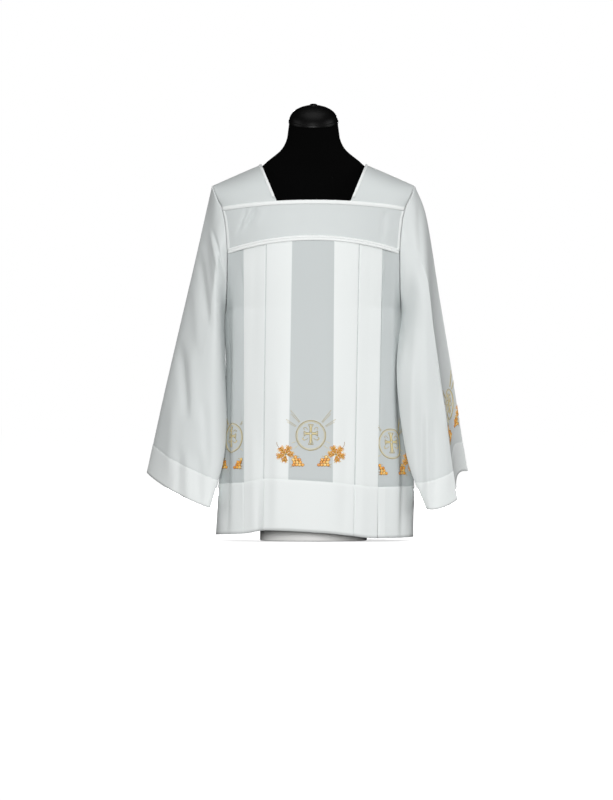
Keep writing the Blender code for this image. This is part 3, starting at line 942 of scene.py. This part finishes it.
def sleeve_grid(side):
    """Rows of points of a sleeve before it is folded, and how far below the cuff line."""
    sections = SLEEVES[side]
    lines = [sleeve_line(sections, turn) for turn in sleeve_turns()]
    cuffs = [cuff_share(line) for line in lines]
    rows, below = [], []
    steps = [i / SLEEVE_ROWS for i in range(SLEEVE_ROWS)]
    steps += [1 - 1.6 / SLEEVE_LONG, 1 - 0.6 / SLEEVE_LONG]
    steps += [1 + 0.6 / CUFF_BAND, 1 + 1.6 / CUFF_BAND]
    steps += [1 + i / CUFF_ROWS for i in range(1, CUFF_ROWS + 1)]
    for step in steps:
        row = []
        for line, cuff in zip(lines, cuffs):
            share = cuff * step if step <= 1 else mix(cuff, 1, step - 1)
            row.append(along(line, share))
        rows.append(row)
        below.append((step - 1) * (CUFF_BAND if step > 1 else SLEEVE_LONG))
    return rows, below


def make_sleeve(word, side):
    flat, below = sleeve_grid(side)
    count = len(flat[0])
    rows, plies = [], []
    for r, row in enumerate(flat):
        made = []
        low, high = flat[max(r - 1, 0)], flat[min(r + 1, len(flat) - 1)]
        free = soft(r / 10)
        for i, p in enumerate(row):
            run = row[(i + 1) % count] - row[i - 1]
            normal = run.cross(high[i] - low[i]).normalized()
            if normal.y < 0:
                lift = folded(SLEEVE_FOLDS[side], side * p.x, p.z)
            else:
                lift = folded(SLEEVE_BACK_FOLDS, p.x, p.z)
            lift *= free * soft(abs(normal.y) / 0.35)
            relief = hem_relief(-below[r]) if below[r] > -STITCH_REACH else 0.0
            q = p + normal * (lift + relief)
            made.append(Vector((side * q.x, q.y, q.z)))
        rows.append(made if side > 0 else made[::-1])
        plies.append([1.0 if below[r] > 0 else SLEEVE_PLY] * count)
    nodes = [f"sleeve_{word}_front", f"sleeve_{word}_back"]
    return lay_sheet(
        f"sleeve_{word}", rows, plies, CLOTH_FINISH, CLOTH, nodes, closed=True
    )


# Embroidery, drawn flat in millimetres about the middle of its ring: across, then up.
# Strokes are (thread, width, line), and threads are numbered by THREADS.

THREADS = (
    ("olive gold", "#B7A364"),
    ("pale gold", "#E3D5A2"),
    ("amber", "#F3AE42"),
    ("straw", "#F3CC7A"),
    ("orange", "#DE8E2C"),
    ("brown", "#9A6D2B"),
)
OLIVE, PALE, AMBER, STRAW, ORANGE, BROWN = range(6)
RING = 32.5
RING_INNER = 29.9
MOTIF_REACH = 84  # how far a motif goes to either side
CROSS_ARMS = ((0, 1, 20), (0, -1, 24), (1, 0, 15), (-1, 0, 15))
CROSS_RISE = 4
CROSS_TIP = 5.2
LOBES = ((-128, 0.78), (-62, 0.95), (0, 1.0), (62, 0.95), (128, 0.78))
BARB_PITCH = 2.1
BARB = 0.47  # the longest slanting stitch as a share of the leaf
BARB_SLANT = 42
UPPER_RAYS = ((31, 38, 27), (49, 38, 33))  # (angle, start, length)
LOWER_RAYS = ((-22, 36, 9), (-38, 36, 11))
GRAPE_ROWS = (4, 3, 3, 1)
GRAPE = 3.4
GRAPE_PITCH = 6.5
GRAPE_LOW = -64.5
GRAPE_RISE = 5.8


def polar(middle, reach, turn):
    return (middle[0] + reach * math.cos(turn), middle[1] + reach * math.sin(turn))


def ring_line(radius, middle=(0, 0), start=0, stop=360, steps=48):
    line = []
    for i in range(steps + 1):
        turn = math.radians(mix(start, stop, i / steps))
        line.append(polar(middle, radius, turn))
    return line


def curl(start, heading, length, bend, steps=10):
    """A line that leaves a place at a heading in degrees and bends more and more."""
    x, y = start
    line = [start]
    for i in range(steps):
        turn = math.radians(heading + bend * (i / steps) ** 2)
        x += length / steps * math.cos(turn)
        y += length / steps * math.sin(turn)
        line.append((x, y))
    return line


def vine_leaf(middle, heading, size):
    """A five-lobed leaf, each lobe a rib with short slanting stitches to either side."""
    strokes = []
    for lobe, share in LOBES:
        turn = math.radians(heading + lobe)
        long = size * share
        steps = round(long / BARB_PITCH)
        for i in range(1, steps):
            t = i / steps
            root = polar(middle, long * t, turn)
            barb = size * BARB * math.sin(math.pi * (0.15 + 0.78 * t))
            barb *= 1 + 0.22 * (-1) ** i
            for way in (-1, 1):
                tip = polar(root, barb, turn + way * math.radians(BARB_SLANT))
                strokes.append(((AMBER, STRAW, ORANGE)[i % 3], 1.5, [root, tip]))
        strokes.append((BROWN, 1.0, [middle, polar(middle, long, turn)]))
    return strokes


def cross_spot(x, y, reach, off):
    """A place on the arm that points along (x, y), by its reach and its distance aside."""
    return (x * reach + y * off, CROSS_RISE + y * reach + x * off)


def cross_strokes():
    """A plain cross with widened ends inside the ring, with small curls in its corners."""
    strokes = []
    for x, y, long in CROSS_ARMS:
        for way in (-1, 1):
            line = []
            for t in (0.12, 0.6, 0.85, 1.0):
                wide = 2.0 + 3.6 * max(t - 0.6, 0) ** 1.4 / 0.28
                line.append(cross_spot(x, y, long * t, way * wide))
            strokes.append((OLIVE, 1.3, line))
        spine = [cross_spot(x, y, 2, 0), cross_spot(x, y, long - 1, 0)]
        end = [cross_spot(x, y, long, off) for off in (CROSS_TIP, -CROSS_TIP)]
        strokes += [(PALE, 3.4, spine), (OLIVE, 1.3, end)]
    for x in (-1, 1):
        strokes.append((OLIVE, 1.1, curl((x * 7, 13), 90 - x * 35, 15, -x * 260)))
        strokes.append((OLIVE, 1.1, curl((x * 6, -6), -90 + x * 50, 18, x * 240)))
        strokes.append((PALE, 1.6, curl((x * 19, -6), -90 - x * 30, 9, -x * 120, 5)))
    return strokes


def ray(side, degrees, start, stop):
    turn = math.radians(degrees)
    return [(side * r * math.cos(turn), r * math.sin(turn)) for r in (start, stop)]


def ray_strokes():
    """Split rays above the ring at each side, and short pale ones below."""
    strokes = []
    for side in (-1, 1):
        for turn, start, long in UPPER_RAYS:
            for off, share in ((-1.8, 0.8), (1.8, 1.0)):
                line = ray(side, turn + off, start, start + long * share)
                strokes.append((OLIVE, 0.8, line))
        for turn, start, long in LOWER_RAYS:
            strokes.append((PALE, 0.9, ray(side, turn, start, start + long)))
    return strokes


def vine_strokes():
    """Each side's leaf, tendril and twig."""
    strokes = []
    for side in (-1, 1):
        strokes += vine_leaf((side * 54, -42), 90 - side * 40, 20)
        strokes.append((BROWN, 1.0, curl((side * 61, -33), 90 - side * 55, 24, side * 75)))
        strokes.append((OLIVE, 1.1, curl((side * 41, -44), 90 + side * 105, 17, -side * 40)))
        strokes.append((STRAW, 1.3, curl((side * 36, -41), 90 - side * 30, 14, -side * 150)))
        strokes.append((OLIVE, 0.9, curl((side * 45, -62), -90 - side * 60, 12, side * 200)))
    return strokes


def grape_places():
    """Each side's grapes, in rows that narrow to the top."""
    places = []
    for side in (-1, 1):
        for row, count in enumerate(GRAPE_ROWS):
            for i in range(count):
                x = mix(27, 33, row / 3) + GRAPE_PITCH * (i - (count - 1) / 2)
                places.append((side * x, GRAPE_LOW + GRAPE_RISE * row))
    return places


def fine_line(line, step=2.5):
    """A line with a point at least every few millimetres."""
    made = [line[0]]
    for a, b in zip(line, line[1:]):
        parts = max(1, math.ceil(math.dist(a, b) / step))
        for i in range(1, parts + 1):
            made.append((mix(a[0], b[0], i / parts), mix(a[1], b[1], i / parts)))
    return made


class Embroidery:
    """One motif's threads on a piece of cloth, as closed raised stitches."""

    def __init__(self, name, place):
        self.name = name
        self.place = place  # from (across, up) to (point, outward normal), or None
        self.made = bmesh.new()

    def stroke(self, thread, wide, line, height=0.75, level=0.0):
        line = fine_line(line)
        rings = []
        for i, spot in enumerate(line):
            a, b = line[max(i - 1, 0)], line[min(i + 1, len(line) - 1)]
            run = math.dist(a, b) or 1.0
            nx, ny = -(b[1] - a[1]) / run, (b[0] - a[0]) / run
            ring = []
            for off, up in ((-0.5, 0.02), (-0.3, height), (0.3, height), (0.5, 0.02)):
                at = self.place(spot[0] + nx * off * wide, spot[1] + ny * off * wide)
                if at is None:
                    ring = None
                    break
                ring.append((at[0] + at[1] * (up + level)) * MM)
            rings.append(ring)
        run = []
        for ring in rings + [None]:
            if ring is not None and (not run or (ring[0] - run[-1][0]).length < 8 * MM):
                run.append(ring)
                continue
            self.tube(run, thread)
            run = [ring] if ring is not None else []

    def tube(self, rings, thread):
        if len(rings) < 2:
            return
        grid = [[self.made.verts.new(p) for p in ring] for ring in rings]
        faces = [grid[0][::-1], grid[-1]]
        for low, high in zip(grid, grid[1:]):
            for i in range(4):
                j = (i + 1) % 4
                faces.append([low[i], low[j], high[j], high[i]])
        for face in faces:
            self.made.faces.new(face).material_index = thread

    def fill(self, thread, outline, height=0.6):
        """A filled shape, domed a little to its middle."""
        middle = (
            sum(p[0] for p in outline) / len(outline),
            sum(p[1] for p in outline) / len(outline),
        )
        rings = []
        for share, up in ((1.0, 0.02), (0.94, height * 0.8), (0.55, height)):
            ring = []
            for p in outline:
                at = self.place(mix(middle[0], p[0], share), mix(middle[1], p[1], share))
                if at is None:
                    return
                ring.append((at[0] + at[1] * up) * MM)
            rings.append(ring)
        at = self.place(*middle)
        if at is None:
            return
        grid = [[self.made.verts.new(p) for p in ring] for ring in rings]
        tip = self.made.verts.new((at[0] + at[1] * height * 1.05) * MM)
        base = self.made.verts.new((at[0] + at[1] * 0.02) * MM)
        count = len(outline)
        faces = []
        for low, high in zip(grid, grid[1:]):
            for i in range(count):
                j = (i + 1) % count
                faces.append([low[i], low[j], high[j], high[i]])
        for i in range(count):
            j = (i + 1) % count
            faces.append([grid[-1][i], grid[-1][j], tip])
            faces.append([grid[0][j], grid[0][i], base])
        for face in faces:
            self.made.faces.new(face).material_index = thread

    def finish(self):
        bmesh.ops.recalc_face_normals(self.made, faces=self.made.faces)
        mesh = bpy.data.meshes.new(self.name)
        self.made.to_mesh(mesh)
        self.made.free()
        for finish in THREAD_FINISHES:
            mesh.materials.append(finish)
        mesh.shade_smooth()
        piece = bpy.data.objects.new(self.name, mesh)
        bpy.context.scene.collection.objects.link(piece)
        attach(piece, "root")
        return piece


def embroider(name, place):
    motif = Embroidery(name, place)
    motif.stroke(OLIVE, 1.7, ring_line(RING))
    motif.stroke(PALE, 1.2, ring_line(RING_INNER), height=0.5)
    for stroke in cross_strokes() + ray_strokes() + vine_strokes():
        motif.stroke(*stroke)
    for k, middle in enumerate(grape_places()):
        thread = (AMBER, STRAW, AMBER, ORANGE)[k % 4]
        outline = ring_line(GRAPE, middle, steps=10)
        motif.fill(thread, outline[:-1], 1.4)
        motif.stroke(BROWN, 0.9, outline, 0.8)
    return motif.finish()


def surface_tree(piece):
    """The piece's sheet for placing what lies on it, in millimetres."""
    points = [v.co / MM for v in piece.data.vertices]
    return BVHTree.FromPolygons(points, [tuple(p.vertices) for p in piece.data.polygons])


def on_cloth(tree, start, inward):
    """Where a line meets the cloth first, and the cloth's normal there."""
    hit, normal, _, _ = tree.ray_cast(start, inward, 80)
    if hit is None:
        return None
    if normal.dot(inward) > 0:
        normal = -normal
    return hit + normal * (CLOTH / 2), normal


def by_length(curve, start, reach):
    """From the length along a curve, either way from its start, to the turn there."""
    marks = [(0.0, start)]
    for way in (-1, 1):
        turn, here, far = start, curve(start), 0.0
        while far < reach:
            turn += way * 0.002
            there = curve(turn)
            far += (there - here).length
            here = there
            marks.append((way * far, turn))
    marks.sort()
    lengths = [mark[0] for mark in marks]

    def turn_at(far):
        k = min(max(bisect.bisect(lengths, far), 1), len(marks) - 1)
        (a, turn_a), (b, turn_b) = marks[k - 1], marks[k]
        return mix(turn_a, turn_b, (far - a) / (b - a))

    return turn_at


def on_skirt(tree, face, side, height, clear=0.0):
    """Places a motif on the skirt, about a point seen from the front. clear keeps it off
    the pleat that hangs over it."""
    start = turn_of(side, height, face)
    turn_at = by_length(lambda turn: body_turn(turn, height, face), start, MOTIF_REACH)

    def place(across, up):
        turn = turn_at(across)
        base = body_turn(turn, height + up, face)
        out = body_turn(turn, height + up, face, 30) - base
        found = on_cloth(tree, base + out, -out.normalized())
        if clear and found and abs(found[0].x) < clear:
            return None
        return found

    return place


def on_sleeve(tree, side, start, height):
    """Places a motif at a turn round a sleeve and at a height."""
    sections = SLEEVES[side]
    flip = Vector((side, 1, 1))

    def point(turn, share):
        return along(sleeve_line(sections, turn), share)

    shares = [i / 200 for i in range(201)]
    share = min(shares, key=lambda s: abs(point(0.0, s).z - height))
    long = (point(0.0, share + 0.02) - point(0.0, share - 0.02)).length / 0.04
    turn_at = by_length(lambda turn: point(turn, share), start, MOTIF_REACH)

    def place(across, up):
        turn, at = turn_at(-across * side), share - up / long
        if turn > FRONT_FOLD:
            return None
        base = point(turn, at)
        run = point(turn + 0.03, at) - point(turn - 0.03, at)
        out = run.cross(point(turn, at + 0.01) - point(turn, at - 0.01)).normalized()
        if out.dot(base - point(math.pi, at)) < 0:
            out = -out
        return on_cloth(tree, (base + out * 25) * flip, -(out * flip))

    return place


# Dress form

ROUND = 96
RIM_ANGLE = math.radians(60)
CAP_RIM = 7.5
CAP_RISE = 32
CAP_RINGS = (8, 18, 30, 43, 56, 68, 79)  # degrees up the dome
CAP_DROP = 10.7
CAP_TILT = 26 / 98  # the neck's top falls this share of its depth to the front
# The knob, a waist, a swelling and a round top: (rise, how much wider than before)
KNOB = ((0.2, 0.62), (0.8, 1.0), (0.7, 1.3), (1.0, 1.0), (0.8, 0.8), (0.4, 0.6), (0.1, 0.4))
FOOT_RIM = 6


def only(piece):
    bpy.ops.object.select_all(action="DESELECT")
    piece.select_set(True)
    bpy.context.view_layer.objects.active = piece


def pick_faces(piece, wanted):
    """Selects the faces that a test picks, in edit mode."""
    made = bmesh.from_edit_mesh(piece.data)
    for face in made.faces:
        face.select_set(wanted(face))
    made.select_flush_mode()
    bmesh.update_edit_mesh(piece.data)


def round_rim(piece, wide, segments):
    bevel = piece.modifiers.new("rim", "BEVEL")
    bevel.width = wide * MM
    bevel.segments = segments
    bevel.limit_method = "ANGLE"
    bevel.angle_limit = RIM_ANGLE
    bpy.ops.object.modifier_apply(modifier="rim")


def draw_up(rise, share):
    """Extrudes the picked top by a rise in metres and scales it by a share."""
    bpy.ops.mesh.extrude_region_move(TRANSFORM_OT_translate={"value": (0, 0, rise)})
    bpy.ops.transform.resize(value=(share, share, 1))


def finished(piece, finish, nodes, angle=35):
    """Gives a new hard piece its finish, and hides the CAD nodes that it stands for."""
    bpy.ops.object.mode_set(mode="OBJECT")
    only(piece)
    bpy.ops.object.transform_apply(location=True, rotation=True, scale=True)
    bpy.ops.object.shade_smooth_by_angle(angle=math.radians(angle))
    piece.data.materials.clear()
    piece.data.materials.append(finish)
    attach(piece, "root")
    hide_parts(*nodes)
    return piece


def make_cap(finish):
    """The neck cap: a rim, a low dome drawn up ring by ring, and a small turned knob."""
    low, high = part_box("form_cap")
    bpy.ops.object.select_all(action="DESELECT")
    bpy.ops.mesh.primitive_cylinder_add(vertices=ROUND, radius=1.0, depth=CAP_RIM * MM)
    cap = bpy.context.object
    cap.name = "neck_cap"
    cap.scale = ((high.x - low.x) / 2, (high.y - low.y) / 2, 1.0)
    bpy.ops.object.transform_apply(location=False, rotation=False, scale=True)
    round_rim(cap, 1.6, 3)
    bpy.ops.object.mode_set(mode="EDIT")
    pick_faces(cap, lambda f: f.normal.z > 0.99)
    last = (0.0, 1.0)
    for degrees in CAP_RINGS:
        turn = math.radians(degrees)
        rise, share = CAP_RISE * MM * math.sin(turn), math.cos(turn)
        draw_up(rise - last[0], share / last[1])
        last = (rise, share)
    for rise, share in KNOB:
        draw_up(rise * MM, share)
    bpy.ops.object.mode_set(mode="OBJECT")
    # The cap sits on the neck's slanting top, so it falls to the front with it
    middle = (low + high) / 2
    for v in cap.data.vertices:
        v.co.z += v.co.y * CAP_TILT + middle.z - CAP_DROP * MM
        v.co.y += middle.y
        v.co.x += middle.x
    return finished(cap, finish, ["form_cap"], angle=50)


def make_foot(finish):
    """The form's low foot: a plate with a rounded upper rim."""
    low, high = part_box("form_foot")
    bpy.ops.object.select_all(action="DESELECT")
    bpy.ops.mesh.primitive_cylinder_add(
        vertices=ROUND, radius=1.0, depth=high.z - low.z, location=(0, 0, (low.z + high.z) / 2)
    )
    foot = bpy.context.object
    foot.name = "foot_plate"
    foot.scale = ((high.x - low.x) / 2, (high.y - low.y) / 2, 1.0)
    bpy.ops.object.transform_apply(location=True, rotation=False, scale=True)
    bpy.ops.object.mode_set(mode="EDIT")
    pick_faces(foot, lambda f: f.normal.z > 0.9)
    bpy.ops.mesh.inset(thickness=FOOT_RIM * MM, depth=0)
    bpy.ops.object.mode_set(mode="OBJECT")
    round_rim(foot, 3, 4)
    return finished(foot, finish, ["form_foot"])


# Build

# Where the motifs sit on the skirt, by their distance to the side and their height. The
# outer ones keep clear of the pleat that hangs over them, out to a distance.
SKIRT_MOTIFS = (("left", 170, 214, 141), ("right", -180, 227, 155))
MIDDLE_MOTIF = (6, 233)
SLEEVE_MOTIF_TURN = {1: 0.72, -1: -1.15}
SLEEVE_MOTIF_HEIGHT = 320

THREAD_FINISHES = [satin_thread(name, colour) for name, colour in THREADS]

make_cap(lacquered_wood())
make_foot(powder_coated_steel())
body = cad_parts["form_body"]
body.data.materials.clear()
body.data.materials.append(knitted_cover())

for word, face in (("front", -1), ("back", 1)):
    skirt = make_panel(word, face)
    chest = make_chest(word, face)
    tapes = [
        make_tape(word, "upper", UPPER_SEAM, UPPER_DROP, UPPER_TAPE, 1, face),
        make_tape(word, "lower", LOWER_SEAM, LOWER_DROP, LOWER_TAPE, 2, face),
    ]
    tree = surface_tree(skirt)
    side, height = MIDDLE_MOTIF
    place = on_skirt(tree, face, side * face, height)
    motifs = [embroider(f"embroidery_{word}_middle", place)]
    for spot, side, height, clear in SKIRT_MOTIFS:
        place = on_skirt(tree, face, side, height, clear)
        motifs.append(embroider(f"embroidery_{word}_{spot}", place))
for word, side in (("left", 1), ("right", -1)):
    shoulder = make_shoulder(word, side)
    edge = make_neck_edge(word, side)
    sleeve = make_sleeve(word, side)
    turn = SLEEVE_MOTIF_TURN[side]
    place = on_sleeve(surface_tree(sleeve), side, turn, SLEEVE_MOTIF_HEIGHT)
    motif = embroider(f"embroidery_sleeve_{word}", place)


# Studio: a pale floor, soft light and the camera

FLOOR = 80
# The floor's own glow at a distance from the garment: (near, far, glow near, glow far)
GLOW = (1.0, 3.0, 0.6, 1.0)
# (name, place, width, power)
SOFTBOXES = (
    ("key softbox", (-0.4, -7.0, 0.95), 1.8, 372),
    ("left fill", (-4.2, -1.2, 1.6), 2.6, 50),
    ("right fill", (4.2, -1.2, 1.6), 2.6, 82),
    ("top fill", (0, -0.6, 4.2), 2.6, 40),
    ("back softbox", (0.4, 7.0, 0.95), 1.8, 385),
)
LIGHT_TARGET = Vector((0, 0, 0.5))
CAMERA_AWAY = 12.0
CAMERA_SIDE = -0.0154
CAMERA_HEIGHT = 0.3102
SENSOR = 36
VIEW_TALL = 1.76  # height of the view at the garment's front
FRONT = -0.05


def make_floor():
    bpy.ops.object.select_all(action="DESELECT")
    bpy.ops.mesh.primitive_plane_add(size=FLOOR)
    floor = bpy.context.object
    floor.name = "studio_floor"
    paper, tree, shader = new_finish("white studio paper", "#F7F7F7", 0.9)
    shader.inputs["Emission Color"].default_value = (1.0, 1.0, 1.0, 1.0)
    # The paper is lit evenly, so it stays white where the softboxes no longer reach it
    place = add_node(tree, "ShaderNodeTexCoord")
    away = add_node(
        tree, "ShaderNodeVectorMath", {"operation": "LENGTH"}, {0: place.outputs["Object"]}
    )
    limits = {i + 1: value for i, value in enumerate(GLOW)}
    limits[0] = away.outputs["Value"]
    glow = add_node(tree, "ShaderNodeMapRange", {}, limits)
    tree.links.new(glow.outputs[0], shader.inputs["Emission Strength"])
    floor.data.materials.append(paper)
    floor.visible_diffuse = False
    floor.visible_glossy = False


def add_softbox(name, place, wide, power):
    lamp = bpy.data.lights.new(name, "AREA")
    lamp.shape = "RECTANGLE"
    lamp.size = lamp.size_y = wide
    lamp.energy = power
    softbox = bpy.data.objects.new(name, lamp)
    softbox.location = place
    aim = LIGHT_TARGET - Vector(place)
    softbox.rotation_euler = aim.to_track_quat("-Z", "Y").to_euler()
    bpy.context.scene.collection.objects.link(softbox)


make_floor()
for softbox in SOFTBOXES:
    add_softbox(*softbox)

world = bpy.data.worlds.new("studio air")
world.use_nodes = True
background = world.node_tree.nodes["Background"]
background.inputs[0].default_value = (1, 1, 1, 1)
background.inputs[1].default_value = 1.0
world.cycles_visibility.diffuse = False
world.cycles_visibility.glossy = False
bpy.context.scene.world = world
bpy.context.scene.view_settings.view_transform = "Standard"

lens = bpy.data.cameras.new("camera")
lens.sensor_width = SENSOR
lens.lens = SENSOR * (CAMERA_AWAY + FRONT) / VIEW_TALL
camera = bpy.data.objects.new("camera", lens)
camera.location = (CAMERA_SIDE, -CAMERA_AWAY, CAMERA_HEIGHT)
camera.rotation_euler = (math.radians(90), 0, 0)
lens.clip_end = 60
bpy.context.scene.collection.objects.link(camera)
bpy.context.scene.camera = camera
